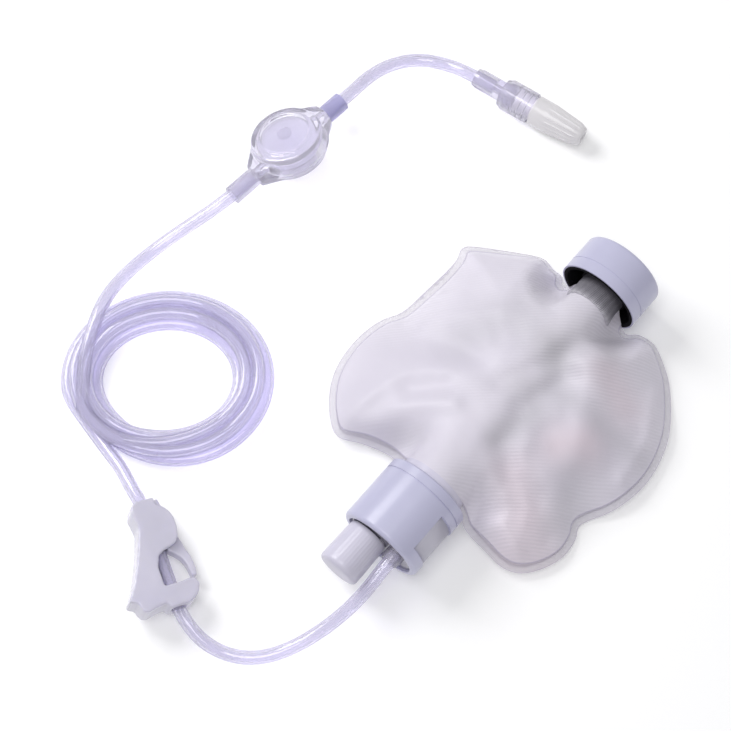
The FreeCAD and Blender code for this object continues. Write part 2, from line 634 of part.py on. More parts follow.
def make_clamp_arm():
    extruded("clamp_arm", outline(CLAMP_ARM_OUTLINE), "XY_Plane", "arm_width", CLAMP)


# ---------------------------------------------------------------- line: filter
def nose_section(along, half, slope, height):
    """A four-sided section of the housing's nose, standing across the flow."""
    corners = [(-half, 0), (half, 0), (half - slope, height), (slope - half, height)]
    points = [Vector(across, along, up) for across, up in corners]
    return Part.makePolygon(points + points[:1])


def filter_half(node, part, sign):
    """One half of the housing: a tapered disc and two noses, with chamber and channel."""
    radius, height = SIZES["filter_radius"], SIZES[part + "_height"]
    face = radius - SIZES["filter_taper"]
    shape = Part.makeCone(radius, face, height, Vector(0, 0, 0), Vector(0, 0, sign))
    face_edge = max(shape.Edges, key=lambda edge: edge.BoundBox.ZMax * sign)
    shape = shape.makeFillet(SIZES["filter_edge"], [face_edge])
    noses = []
    for side in (1, -1):
        root = nose_section(side * SIZES["nose_root"], SIZES["nose_root_half"],
                            SIZES["nose_slope"], sign * SIZES[part + "_nose_height"])
        tip = nose_section(side * SIZES["nose_end"], SIZES["nose_half"],
                           SIZES["nose_tip_slope"], sign * SIZES["nose_tip_height"])
        noses.append(Part.makeLoft([root, tip], True, True))
    shape = shape.fuse(noses)
    if sign > 0:
        ring = Part.makeCylinder(SIZES["ring_radius"], height + SIZES["ring_height"])
        ring = ring.cut(Part.makeCylinder(SIZES["ring_radius"] - SIZES["ring_width"], height + 1))
        shape = shape.fuse(ring)
    chamber = Part.makeCylinder(SIZES["chamber_radius"], SIZES["chamber_depth"],
                                Vector(0, 0, 0), Vector(0, 0, sign))
    channel = Part.makeCylinder(SIZES["passage_radius"], 2 * SIZES["nose_end"] + 2,
                                Vector(0, -SIZES["nose_end"] - 1, 0), Vector(0, 1, 0))
    feature = document.addObject("Part::Feature", node)
    feature.Shape = shape.cut(chamber).cut(channel)
    feature.Placement = FILTER
    feature.Label = node
    nodes[node] = feature


def filter_disc(node, radius, low, high):
    """A flat round sheet or plug across the filter, between two heights."""
    disc = document.addObject("Part::Cylinder", node)
    disc.setExpression("Radius", bound(radius))
    disc.setExpression("Height", bound(high + " - " + low))
    disc.Placement = FILTER.multiply(
        FreeCAD.Placement(Vector(0, 0, amount(low)), Rotation()))
    disc.Label = node
    nodes[node] = disc


def make_filter():
    filter_half("filter_base", "base", -1)
    filter_half("filter_cover", "cover", 1)
    filter_disc("filter_membrane", "membrane_radius", "0", "membrane")
    filter_disc("filter_vent", "vent_radius", "cover_height", "cover_height + vent_height")
    for node, near, far in (("filter_inlet_sleeve", "0 - nose_end", "inlet_sleeve_end"),
                            ("filter_outlet_sleeve", "nose_end", "outlet_sleeve_far")):
        turned(node, [
            ("tube_hole", near), ("filter_sleeve_radius", near),
            ("filter_sleeve_radius", far), ("tube_hole", far)], FILTER)


# ---------------------------------------------------------------- line: luer connector
def make_luer_socket():
    turned("luer_socket", [
        ("tube_hole", "0"), ("socket_mouth_radius", "0"), ("socket_radius", "1.4"),
        ("socket_radius", "socket_length"), ("capillary_radius", "socket_length"),
        ("capillary_radius", "socket_floor"), ("tube_hole", "socket_floor")], LUER)


def make_luer_tip():
    turned("luer_tip", [
        ("cone_bore", "socket_length"), ("hub_radius", "socket_length"),
        ("hub_radius", "flange_start"), ("flange_radius", "flange_start"),
        ("flange_radius", "flange_stop"), ("cone_root_radius + 0.3", "flange_stop"),
        ("cone_root_radius", "cone_start"), ("cone_tip_radius", "cone_stop"),
        ("cone_bore", "cone_stop")], LUER)


def make_restrictor():
    turned("restrictor_capillary", [
        ("0.1", "capillary_start"), ("capillary_radius", "capillary_start"),
        ("capillary_radius", "capillary_stop"), ("0.1", "capillary_stop")], LUER)


def make_luer_collar():
    root, crest = "collar_bore", "collar_bore - 0.22"
    thread = []
    for turn in range(3):
        start = "collar_floor + %.1f" % (2.6 + 2.0 * turn)
        thread += [(root, start), (crest, start + " + 0.3"), (crest, start + " + 0.6"),
                   (root, start + " + 0.9")]
    turned("luer_collar", [
        ("collar_hole", "collar_start"), ("collar_radius - 0.7", "collar_start"),
        ("collar_radius", "collar_start + 1.6"), ("collar_radius", "collar_stop - 0.4"),
        ("collar_radius - 0.4", "collar_stop"), (root, "collar_stop")]
        + thread[::-1] + [(root, "collar_floor"), ("collar_hole", "collar_floor")], LUER)


def make_luer_cap():
    turned("luer_cap", [
        ("cone_root_radius + 0.12", "luer_cap_start"), ("luer_cap_plug - 0.2", "luer_cap_start"),
        ("luer_cap_plug - 0.2", "luer_cap_shoulder"), ("luer_cap_radius", "luer_cap_shoulder"),
        ("luer_cap_radius", "luer_cap_shoulder + 4"), ("luer_cap_radius - 0.5", "luer_cap_stop - 8"),
        ("luer_cap_radius - 0.9", "luer_cap_stop - 3.4"), ("luer_cap_tip + 0.1", "luer_cap_stop - 1"),
        ("luer_cap_tip - 0.6", "luer_cap_stop"), ("luer_cap_hole", "luer_cap_stop"),
        ("luer_cap_hole", "luer_cap_stop - 3"), ("vent_plug_radius", "luer_cap_stop - 3"),
        ("vent_plug_radius", "luer_cap_floor"), ("cone_root_radius", "luer_cap_floor - 0.5"),
        ("cone_root_radius", "luer_cap_floor - 1.5"), ("cone_root_radius + 0.12", "cone_start + 2")],
        LUER)


def make_luer_cap_vent():
    turned("luer_cap_vent", [
        ("0", "luer_cap_stop - 5"), ("vent_plug_radius", "luer_cap_stop - 5"),
        ("vent_plug_radius", "luer_cap_stop - 3"), ("0", "luer_cap_stop - 3")], LUER)


# ---------------------------------------------------------------- build, test and write
def build():
    make_lower_cap()
    make_lower_clamp_ring()
    make_port_block()
    make_fill_port()
    make_fill_valve_disc()
    make_fill_cap()
    make_fill_cap_liner()
    make_outlet_sleeve()
    make_core_tube()
    make_reservoir()
    make_reservoir_bands()
    make_film_necks()
    make_top_plug()
    make_top_clamp_band()
    make_top_cap()
    make_film_sheet("film_cover_upper", UPPER_CONTOURS, 1)
    make_film_sheet("film_cover_lower", LOWER_CONTOURS, -1)
    make_line_tubes()
    make_tubing_coil()
    make_clamp_base()
    make_clamp_arm()
    make_filter()
    make_luer_socket()
    make_luer_tip()
    make_restrictor()
    make_luer_collar()
    make_luer_cap()
    make_luer_cap_vent()


def test():
    """Stop on a failed feature, or a sub-part that isn't one or more valid solids."""
    document.recompute()
    for part in document.Objects:
        if "Invalid" in part.State or "Error" in part.State:
            raise RuntimeError("%s failed: %s" % (part.Label, part.State))
    for node, part in nodes.items():
        shape = part.Shape
        if shape.isNull() or not shape.isValid() or not shape.Solids:
            raise RuntimeError(node + " isn't a valid solid")


def write():
    os.makedirs("parts", exist_ok=True)
    for node, part in nodes.items():
        part.Shape.exportStep("parts/%s.step" % node)
    print(len(nodes), "nodes written")


build()
test()
write()
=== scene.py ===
"""Looks of the soft-shell elastomeric infusion pump and its tubing set.

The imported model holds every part's size and place. This script gives it its camera, the real tube
runs, the welded film bag with its folds, the softened mouldings, materials, floor and light.
Lengths are in metres; route and outline points are in millimetres, times MM.
"""
import math
import bmesh
import bpy
from mathutils import Matrix, Vector, geometry, noise


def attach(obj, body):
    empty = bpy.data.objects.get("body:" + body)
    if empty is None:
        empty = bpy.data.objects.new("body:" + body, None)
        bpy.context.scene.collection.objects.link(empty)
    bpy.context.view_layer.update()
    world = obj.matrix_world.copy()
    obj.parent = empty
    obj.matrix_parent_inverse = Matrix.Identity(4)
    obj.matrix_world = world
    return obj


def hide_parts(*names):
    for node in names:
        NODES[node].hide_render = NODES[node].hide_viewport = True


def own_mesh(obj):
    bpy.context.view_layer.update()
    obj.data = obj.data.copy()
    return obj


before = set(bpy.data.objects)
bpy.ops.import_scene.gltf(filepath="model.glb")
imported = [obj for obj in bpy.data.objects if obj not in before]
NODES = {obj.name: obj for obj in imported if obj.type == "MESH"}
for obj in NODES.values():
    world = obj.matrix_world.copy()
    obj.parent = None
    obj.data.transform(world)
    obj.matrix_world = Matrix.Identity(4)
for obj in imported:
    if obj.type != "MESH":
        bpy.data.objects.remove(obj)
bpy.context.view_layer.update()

MM = 0.001
PUMP = "pump"

# ---------------------------------------------------------------- camera
CAMERA_AZIMUTH, CAMERA_ELEVATION = 40.6, 70.0
CAMERA_TARGET = Vector((-40.4, -6.9, 0.0)) * MM
CAMERA_DISTANCE = 0.594
LINE_TURN = 40.6


def direction(azimuth, elevation):
    """From the object towards a viewer at this azimuth and elevation in degrees."""
    a, e = math.radians(azimuth), math.radians(elevation)
    return Vector((math.sin(a) * math.cos(e), -math.cos(a) * math.cos(e), math.sin(e)))


def aim(piece, target):
    piece.rotation_mode = "QUATERNION"
    piece.rotation_quaternion = (target - piece.location).to_track_quat("-Z", "Y")


def linked(piece):
    bpy.context.scene.collection.objects.link(piece)
    return piece


def make_camera():
    data = bpy.data.cameras.new("camera")
    data.lens, data.sensor_width = 100.0, 36.0
    data.clip_start, data.clip_end = 0.01, 20.0
    camera = linked(bpy.data.objects.new("camera", data))
    camera.location = CAMERA_TARGET + direction(CAMERA_AZIMUTH, CAMERA_ELEVATION) * CAMERA_DISTANCE
    aim(camera, CAMERA_TARGET)
    bpy.context.scene.camera = camera


# ---------------------------------------------------------------- materials
class Shader:
    """A node material with short ways to add texture, colour and bump."""

    def __init__(self, name, **sockets):
        self.material = bpy.data.materials.new(name)
        self.material.use_nodes = True
        self.tree = self.material.node_tree
        self.surface = self.tree.nodes["Principled BSDF"]
        for socket, value in sockets.items():
            self.surface.inputs[socket.replace("_", " ")].default_value = value
        self.place = self.tree.nodes.new("ShaderNodeTexCoord").outputs["Object"]

    def add(self, kind, **settings):
        made = self.tree.nodes.new("ShaderNode" + kind)
        for name, value in settings.items():
            setattr(made, name, value)
        return made

    def put(self, source, target):
        self.tree.links.new(source, target)

    def turned(self, angle=(0, 0, 0), scale=(1, 1, 1)):
        """Object coordinates turned and stretched, for grain that runs one way."""
        mapping = self.add("Mapping")
        self.put(self.place, mapping.inputs["Vector"])
        mapping.inputs["Rotation"].default_value = [math.radians(a) for a in angle]
        mapping.inputs["Scale"].default_value = scale
        return mapping.outputs["Vector"]

    def noise(self, scale, detail=3.0, place=None):
        """A grey noise with this many lumps to the metre."""
        texture = self.add("TexNoise")
        texture.inputs["Scale"].default_value = scale
        texture.inputs["Detail"].default_value = detail
        self.put(place or self.place, texture.inputs["Vector"])
        return texture.outputs["Fac"]

    def ramp(self, value, stops):
        """Colours or greys along a value: [(position, colour), ...]."""
        ramp = self.add("ValToRGB")
        while len(ramp.color_ramp.elements) < len(stops):
            ramp.color_ramp.elements.new(0.5)
        for element, (position, colour) in zip(ramp.color_ramp.elements, stops):
            element.position = position
            element.color = tuple(colour) if len(colour) == 4 else (*colour, 1.0)
        self.put(value, ramp.inputs["Fac"])
        return ramp.outputs["Color"]

    def mix(self, amount, first, second):
        """Blend of two colour outputs or constants."""
        mixer = self.add("Mix", data_type="RGBA")
        for socket, value in ((mixer.inputs[0], amount), (mixer.inputs[6], first),
                              (mixer.inputs[7], second)):
            if isinstance(value, bpy.types.NodeSocket):
                self.put(value, socket)
            else:
                socket.default_value = value
        return mixer.outputs[2]

    def sum(self, operation, first, second, clamp=False):
        made = self.add("Math", operation=operation, use_clamp=clamp)
        for socket, value in zip(made.inputs, (first, second)):
            if isinstance(value, bpy.types.NodeSocket):
                self.put(value, socket)
            else:
                socket.default_value = value
        return made.outputs[0]

    def colour(self, source):
        self.put(source, self.surface.inputs["Base Color"])

    def bump(self, height, depth, strength=1.0, under=None):
        """Raise the surface by up to depth metres."""
        made = self.add("Bump")
        made.inputs["Distance"].default_value = depth
        made.inputs["Strength"].default_value = strength
        self.put(height, made.inputs["Height"])
        if under is not None:
            self.put(under, made.inputs["Normal"])
        self.put(made.outputs["Normal"], self.surface.inputs["Normal"])
        return made.outputs["Normal"]


def moulded(name, light, dark, roughness, **sockets):
    """Moulded plastic: faint clouding and a fine satin grain."""
    shader = Shader(name, Roughness=roughness, IOR=1.49, **sockets)
    shader.colour(shader.ramp(shader.noise(90.0), [(0.3, dark), (0.7, light)]))
    under = shader.bump(shader.noise(700.0), 0.00004, 0.35)
    shader.bump(shader.noise(5200.0, 2.0), 0.000008, 0.25, under)
    return shader


def lit_through(shader, tint):
    """Lamps shine through a clear piece, so that its shadow stays faint."""
    rays, passed, mixer = (shader.add(kind) for kind in ("LightPath", "BsdfTransparent", "MixShader"))
    passed.inputs["Color"].default_value = (*tint, 1.0)
    shader.put(rays.outputs["Is Shadow Ray"], mixer.inputs[0])
    shader.put(shader.surface.outputs[0], mixer.inputs[1])
    shader.put(passed.outputs[0], mixer.inputs[2])
    shader.put(mixer.outputs[0], shader.tree.nodes["Material Output"].inputs["Surface"])
    return shader


def clear_moulded(name, light, edge, roughness, ior, through, grain=0.00003):
    """Clear plastic that bends light, deeper in colour where its wall is seen edge-on."""
    shader = Shader(name, Roughness=roughness, IOR=ior, Transmission_Weight=through,
                    Coat_Weight=0.3, Coat_Roughness=0.04)
    cloud = shader.ramp(shader.noise(70.0), [(0.3, [0.95 * value for value in light]), (0.7, light)])
    weight = shader.add("LayerWeight")
    weight.inputs["Blend"].default_value = 0.5
    rim = shader.ramp(weight.outputs["Facing"], greys((0.35, 0.0), (0.9, 1.0)))
    shader.colour(shader.mix(rim, cloud, (*edge, 1.0)))
    shader.bump(shader.noise(320.0, 2.0), grain, 0.4)
    return lit_through(shader, [0.5 + 0.5 * value for value in light])


def greys(*stops):
    return [(place, (value,) * 3) for place, value in stops]


def tube_material():
    return clear_moulded("clear_tube", (0.76, 0.74, 0.86), (0.36, 0.335, 0.52), 0.06, 1.45, 0.76).material


def lumen_material():
    return clear_moulded("tube_lumen", (0.91, 0.90, 0.96), (0.60, 0.57, 0.76), 0.05, 0.69, 0.88).material


def clear_material():
    return clear_moulded("clear_plastic", (0.80, 0.785, 0.865), (0.50, 0.475, 0.61), 0.10, 1.49, 0.8).material


def sleeve_material():
    return clear_moulded("tinted_sleeve", (0.60, 0.585, 0.80), (0.40, 0.38, 0.62), 0.15, 1.49, 0.55).material


def membrane_material():
    return moulded("membrane", (0.72, 0.70, 0.79), (0.68, 0.66, 0.75), 0.7, Alpha=0.35).material


def cap_material():
    return moulded("cap_plastic", (0.530, 0.525, 0.690), (0.505, 0.500, 0.660), 0.34,
                   Coat_Weight=0.3, Coat_Roughness=0.16).material


def panel_material():
    return moulded("cap_panel", (0.585, 0.570, 0.655), (0.545, 0.532, 0.615), 0.5).material


# Near-black: painted shadow inside the top cap's mouth, on its bore sleeve, plug and clamp band.
def mouth_shadow_material():
    return moulded("mouth_shadow_black", (0.006, 0.005, 0.007), (0.003, 0.003, 0.004), 0.85,
                   Specular_IOR_Level=0.15).material


def frosted_material():
    shader = moulded("frosted_plastic", (0.76, 0.735, 0.86), (0.70, 0.675, 0.80), 0.36, Alpha=0.84,
                     Coat_Weight=0.3, Coat_Roughness=0.12)
    return shader.material


def luer_cap_material():
    shader = moulded("luer_cap_plastic", (0.88, 0.86, 0.88), (0.83, 0.81, 0.83), 0.28, Alpha=0.8,
                     Coat_Weight=0.5, Coat_Roughness=0.08)
    return shader.material


def grey_material():
    return moulded("porous_grey", (0.30, 0.28, 0.28), (0.20, 0.19, 0.19), 0.8).material


def balloon_material():
    return moulded("balloon_rubber", (0.62, 0.55, 0.58), (0.56, 0.50, 0.53), 0.6).material


def clamp_material():
    shader = moulded("clamp_plastic", (0.80, 0.775, 0.90), (0.73, 0.71, 0.84), 0.26,
                     Transmission_Weight=0.22, Coat_Weight=0.5, Coat_Roughness=0.08)
    shader.surface.inputs["Subsurface Weight"].default_value = 0.35
    shader.surface.inputs["Subsurface Radius"].default_value = (0.004, 0.004, 0.005)
    return shader.material


def gap_attribute(shader, name):
    made = shader.add("Attribute", attribute_name=name)
    return made.outputs["Fac"]


def film_material(name, alpha_middle, alpha_weld):
    """Milky soft film: fine wavy lines across it, clearer along its weld."""
    shader = Shader(name, Roughness=0.5, IOR=1.45, Coat_Weight=0.06, Coat_Roughness=0.3)
    cloud = shader.ramp(shader.noise(24.0, 2.0), [(0.35, (0.74, 0.705, 0.80)), (0.62, (0.83, 0.795, 0.88))])
    rosy = shader.mix(gap_attribute(shader, "rosy"), cloud, (0.80, 0.685, 0.755, 1.0))
    # Painted shade: grey where the folds and the balloon beneath shade the film.
    painted_shade = shader.mix(gap_attribute(shader, "painted_shade"), rosy, (0.50, 0.49, 0.53, 1.0))
    lines = shader.add("TexWave", wave_type="BANDS", bands_direction="Y")
    shader.put(shader.turned((0, 0, -LINE_TURN)), lines.inputs["Vector"])
    lines.inputs["Scale"].default_value = 330.0
    lines.inputs["Distortion"].default_value = 2.6
    lines.inputs["Detail"].default_value = 2.0
    lines.inputs["Detail Scale"].default_value = 0.2
    patch = shader.ramp(shader.noise(30.0, 1.0), greys((0.40, 0.0), (0.58, 1.0)))
    drawn = shader.sum("MULTIPLY", lines.outputs["Fac"], patch)
    lined = shader.mix(shader.sum("MULTIPLY", drawn, 0.16), painted_shade, (0.56, 0.54, 0.60, 1.0))
    gap = shader.sum("DIVIDE", gap_attribute(shader, "gap"), 5.0, True)
    seam = shader.ramp(gap, greys((0.0, 0.5), (0.05, 0.0), (0.36, 0.0), (0.42, 0.75), (0.48, 0.0)))
    shader.colour(shader.mix(seam, lined, (0.42, 0.39, 0.52, 1.0)))
    under = shader.bump(drawn, 0.00007, 0.55)
    under = shader.bump(shader.noise(420.0), 0.00005, 0.3, under)
    shader.bump(seam, 0.0003, 0.6, under)
    middle, weld = alpha_middle, alpha_weld
    alpha = shader.ramp(gap, greys((0.0, 0.8), (0.06, weld), (0.36, weld), (0.42, 0.9), (0.5, middle)))
    shader.put(alpha, shader.surface.inputs["Alpha"])
    return shader.material


def pleat_material():
    """Gathered film in the mouth of the cap: grey, with painted shade that darkens it further into the cap
    and painted shade in the pleats' valleys.
    """
    shader = Shader("pleated_film", Roughness=0.42, IOR=1.47, Coat_Weight=0.2)
    # Painted shade of the cap's mouth, darkest furthest in; then painted shade in the pleats' valleys.
    shade_inward = shader.ramp(gap_attribute(shader, "shade_inward"), [
        (0.0, (0.56, 0.54, 0.60)), (0.3, (0.26, 0.25, 0.285)), (0.62, (0.11, 0.105, 0.125)),
        (1.0, (0.07, 0.065, 0.08))])
    crease_shade = shader.ramp(gap_attribute(shader, "crease_shade"), greys((0.0, 0.32), (0.6, 0.0)))
    shader.colour(shader.mix(crease_shade, shade_inward, (0.10, 0.095, 0.115, 1.0)))
    shader.bump(shader.noise(900.0), 0.00006, 0.4)
    return shader.material


# ---------------------------------------------------------------- mesh helpers
def mesh_piece(name, points, faces, material, smooth=True):
    data = bpy.data.meshes.new(name)
    data.from_pydata([tuple(point) for point in points], [], faces)
    data.polygons.foreach_set("use_smooth", [smooth] * len(data.polygons))
    data.materials.append(material)
    data.update()
    return linked(bpy.data.objects.new(name, data))


def applied(piece):
    """Turn a piece's modifiers into its mesh."""
    bpy.context.view_layer.update()
    graph = bpy.context.evaluated_depsgraph_get()
    mesh = bpy.data.meshes.new_from_object(piece.evaluated_get(graph))
    piece.modifiers.clear()
    piece.data = mesh
    return piece


def painted(names, material):
    """Give CAD nodes a material in place of their plain one."""
    for name in names:
        mesh = NODES[name].data
        mesh.materials.clear()
        mesh.materials.append(material)
        mesh.polygons.foreach_set("use_smooth", [True] * len(mesh.polygons))
        split = NODES[name].modifiers.new("edges", "EDGE_SPLIT")
        split.split_angle = math.radians(32)


def softened(name, nodes, body, material, voxel, rounds):
    """One rounded moulding that stands for CAD nodes: their meshes remeshed and relaxed."""
    shape = bmesh.new()
    for node in nodes:
        shape.from_mesh(NODES[node].data)
    data = bpy.data.meshes.new(name)
    shape.to_mesh(data)
    shape.free()
    data.materials.clear()
    data.materials.append(material)
    piece = linked(bpy.data.objects.new(name, data))
    remesh = piece.modifiers.new("remesh", "REMESH")
    remesh.mode, remesh.voxel_size, remesh.use_smooth_shade = "VOXEL", voxel, True
    relax = piece.modifiers.new("relax", "SMOOTH")
    relax.factor, relax.iterations = 0.5, rounds
    applied(piece)
    if not piece.data.materials:
        piece.data.materials.append(material)
    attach(piece, body)
    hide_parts(*nodes)
    return piece


def lathe(name, profile, place, material, body, ribs=(), columns=96, ring=False):
    """A turned piece from (radius, along) points in millimetres, closed round its own Y axis.

    ribs lists (count, height, start, stop): ridges along the axis, outside only, between two
    lengths along it."""
    points, faces = [], []
    rows = len(profile)
    for radius, along, outside in profile:
        for column in range(columns):
            turn = 2 * math.pi * column / columns
            reach = radius
            for count, height, start, stop in ribs:
                if outside and start < along < stop:
                    share = eased((along - start) / 1.2) * eased((stop - along) / 1.2)
                    reach += height * share * max(0.0, math.cos(count * turn)) ** 1.5
            points.append(place @ (Vector((reach * math.cos(turn), along, reach * math.sin(turn))) * MM))
    for row in range(rows if ring else rows - 1):
        after = (row + 1) % rows
        for column in range(columns):
            following = (column + 1) % columns
            faces.append((row * columns + column, row * columns + following,
                          after * columns + following, after * columns + column))
    piece = mesh_piece(name, points, faces, material)
    tidy = bmesh.new()
    tidy.from_mesh(piece.data)
    bmesh.ops.remove_doubles(tidy, verts=tidy.verts, dist=1e-7)
    bmesh.ops.recalc_face_normals(tidy, faces=tidy.faces)
    tidy.to_mesh(piece.data)
    tidy.free()
    split = piece.modifiers.new("edges", "EDGE_SPLIT")
    split.split_angle = math.radians(38)
    applied(piece)
    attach(piece, body)
    return piece


def along_profile(corners, step):
    """(radius, along, outside) points with long sides divided, so that ribs can follow them."""
    profile = []
    for (r0, y0, outside), (r1, y1, _) in zip(corners, corners[1:]):
        parts = max(1, int(abs(y1 - y0) / step)) if outside else 1
        profile += [(r0 + (r1 - r0) * part / parts, y0 + (y1 - y0) * part / parts, outside)
                    for part in range(parts)]
    return profile + [corners[-1]]


def placed(x, y, z, yaw=0.0, roll=0.0):
    """The place of a group of parts, as the CAD has it, in metres."""
    return (Matrix.Translation(Vector((x, y, z)) * MM)
            @ Matrix.Rotation(math.radians(yaw), 4, "Z") @ Matrix.Rotation(math.radians(roll), 4, "Y"))


# ---------------------------------------------------------------- tube
TUBE_RADIUS, LUMEN_RADIUS = 2.0 * MM, 1.15 * MM
OUTLET_ROUTE = [
    (5.0, -43.6, 12.85), (5.0, -51.6, 12.85), (5.4, -60.0, 10.8), (4.3, -68.2, 7.6),
    (2.2, -76.4, 5.0), (-0.8, -84.0, 3.2), (-4.4, -90.2, 2.5), (-9.2, -95.0, 2.6),
    (-14.9, -98.0, 3.6), (-20.9, -99.2, 5.2), (-26.6, -98.5, 6.6), (-31.4, -96.9, 6.8),
    (-35.9, -94.5, 6.8)]
LEAD_ROUTE = [
    (-56.9, -83.0, 6.8), (-59.6, -81.5, 6.8), (-65.6, -79.6, 6.3), (-72.2, -77.0, 4.6), (-79.4, -75.4, 3.0),
    (-87.0, -73.6, 2.4)]
EXIT_ROUTE = [
    (-101.2, -61.5, 6.8), (-106.2, -52.0, 8.0), (-110.6, -42.0, 6.6), (-112.4, -30.6, 3.0),
    (-110.9, -18.2, 2.6), (-107.6, -7.6, 5.0)]
INLET_END = [(-104.0, 2.4, 8.0), (-102.9, 14.0, 8.0)]
OUTLET_END = [(-99.9, 45.8, 8.0), (-99.1, 54.2, 8.0)]
PATIENT_ROUTE = [(-98.7, 63.2, 7.6), (-97.4, 72.0, 4.2), (-92.9, 79.2, 2.5), (-85.2, 83.2, 3.1)]
LUER_END = [(-76.6, 84.6, 5.2), (-67.9, 85.8, 5.2)]

COIL_CENTRE, COIL_TURN = Vector((-80.8, -48.1, 0.0)), 40.6
COIL_WIDE, COIL_NARROW = 29.0, 25.5
COIL_PITCH, COIL_LOW, COIL_HIGH = 4.1, 2.05, 5.75
COIL_START, COIL_POINTS = 206.0, 26
# Each turn's distance inside the outermost turn, in pitches, and its layer.
COIL_LANES = [(0.0, 0), (1.0, 0), (2.0, 0), (1.5, 1), (0.5, 1), (0.7, 1)]


def coil_points():
    """The coil's turns, wound clockwise, each moving to the next lane before its own end."""
    points = []
    whole = len(COIL_LANES) - 1
    total = int(COIL_POINTS * (whole + 0.06))
    for step in range(1, total):
        turn = step / COIL_POINTS
        lane = int(turn)
        share = turn - lane
        shift = max(0.0, (share - 0.72) / 0.28)
        shift = shift * shift * (3 - 2 * shift)
        here, following = COIL_LANES[lane], COIL_LANES[min(lane + 1, whole)]
        inside = here[0] + (following[0] - here[0]) * shift
        layer = here[1] + (following[1] - here[1]) * shift
        drift = 0.35 * math.sin(turn * 2.4 + 1.0) + 0.25 * math.sin(turn * 9.1)
        angle = math.radians(COIL_START - 360.0 * turn)
        trim = 1.0 / math.cos(math.pi / COIL_POINTS)
        wide = (COIL_WIDE - inside * COIL_PITCH) * trim
        narrow = (COIL_NARROW - inside * COIL_PITCH) * trim
        height = COIL_LOW + (COIL_HIGH - COIL_LOW) * layer
        flat = Vector((wide * math.cos(angle), narrow * math.sin(angle), 0.0))
        flat = flat * (1 + (drift if layer > 0.5 else drift * 0.2) / 40.0)
        turned = Matrix.Rotation(math.radians(COIL_TURN), 3, "Z") @ flat
        points.append(tuple(COIL_CENTRE + turned + Vector((0, 0, height))))
    return points


def route_curve(name, route, radius, material, sides=6):
    data = bpy.data.curves.new(name, "CURVE")
    data.dimensions = "3D"
    spline = data.splines.new("NURBS")
    spline.points.add(len(route) - 1)
    for point, place in zip(spline.points, route):
        point.co = (*[value * MM for value in place], 1.0)
    spline.order_u = 3
    spline.use_endpoint_u = True
    spline.resolution_u = 6
    data.bevel_depth = radius
    data.bevel_resolution = sides
    data.use_fill_caps = True
    data.materials.append(material)
    return linked(bpy.data.objects.new(name, data))


def route_length(curve):
    """Length of a curve's own smooth line."""
    plain = curve.data.copy()
    plain.bevel_depth = 0.0
    probe = bpy.data.objects.new("probe", plain)
    line = bpy.data.meshes.new_from_object(probe)
    length = sum((line.vertices[edge.vertices[0]].co - line.vertices[edge.vertices[1]].co).length
                 for edge in line.edges)
    bpy.data.objects.remove(probe)
    bpy.data.curves.remove(plain)
    bpy.data.meshes.remove(line)
    return length


def make_run(name, route, nodes, tube, lumen):
    """One stretch of the line: the clear tube and the wall of its bore."""
    outer = route_curve(name, route, TUBE_RADIUS, tube)
    inner = route_curve(name + "_bore", route, LUMEN_RADIUS, lumen)
    for piece in (outer, inner):
        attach(piece, PUMP)
    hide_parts(*nodes)
    print(name, "length", round(route_length(outer), 4))


def make_line():
    tube, lumen = tube_material(), lumen_material()
    clamp = clamp_material()
    clamp_pieces = [
        softened("clamp_base_soft", ["clamp_base"], PUMP, clamp, 0.3 * MM, 14),
        softened("clamp_arm_soft", ["clamp_arm"], "clamp_arm", clamp, 0.3 * MM, 6),
        make_pinch(tube)]
    shell = softened("filter_shell", ["filter_base", "filter_cover"], PUMP, clear_material(),
                     0.34 * MM, 6)
    make_run("outlet_line", OUTLET_ROUTE, ["outlet_tube"],
             tube, lumen)
    feed = LEAD_ROUTE + coil_points() + EXIT_ROUTE + INLET_END
    make_run("feed_line", feed, ["coil_lead_tube", "tubing_coil", "coil_exit_tube"],
             tube, lumen)
    make_run("patient_line", OUTLET_END + PATIENT_ROUTE + LUER_END, ["patient_tube"],
             tube, lumen)


CLAMP_MIDDLE = Vector((-45.5, -89.2, 6.8))
CLAMP_ALONG, CLAMP_OUT = Vector((0.8771, -0.4802, 0.0)), Vector((-0.4616, -0.8432, 0.2756))
PINCH_START, PINCH_STOP = -13.5, 11.5


def make_pinch(material):
    """The stretch of tube under the clamp's jaw, made as a straight round tube with its bore."""
    across = CLAMP_ALONG.cross(CLAMP_OUT)
    rows, columns = 40, 40
    points, faces = [], []
    rings = [(PINCH_START + (PINCH_STOP - PINCH_START) * row / rows, TUBE_RADIUS / MM)
             for row in range(rows + 1)]
    rings += [(along, LUMEN_RADIUS / MM) for along, _ in rings[::-1]]
    for along, radius in rings:
        for column in range(columns):
            turn = 2 * math.pi * column / columns
            points.append((CLAMP_MIDDLE + CLAMP_ALONG * along + CLAMP_OUT * (radius * math.cos(turn))
                           + across * (radius * math.sin(turn))) * MM)
    for ring in range(len(rings)):
        after = (ring + 1) % len(rings)
        for column in range(columns):
            following = (column + 1) % columns
            faces.append((ring * columns + column, ring * columns + following,
                          after * columns + following, after * columns + column))
    piece = mesh_piece("pinch_stretch", points, faces, material)
    tidy = bmesh.new()
    tidy.from_mesh(piece.data)
    bmesh.ops.recalc_face_normals(tidy, faces=tidy.faces)
    tidy.to_mesh(piece.data)
    tidy.free()
    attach(piece, PUMP)
    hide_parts("pinch_tube")
    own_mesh(piece)
    return piece


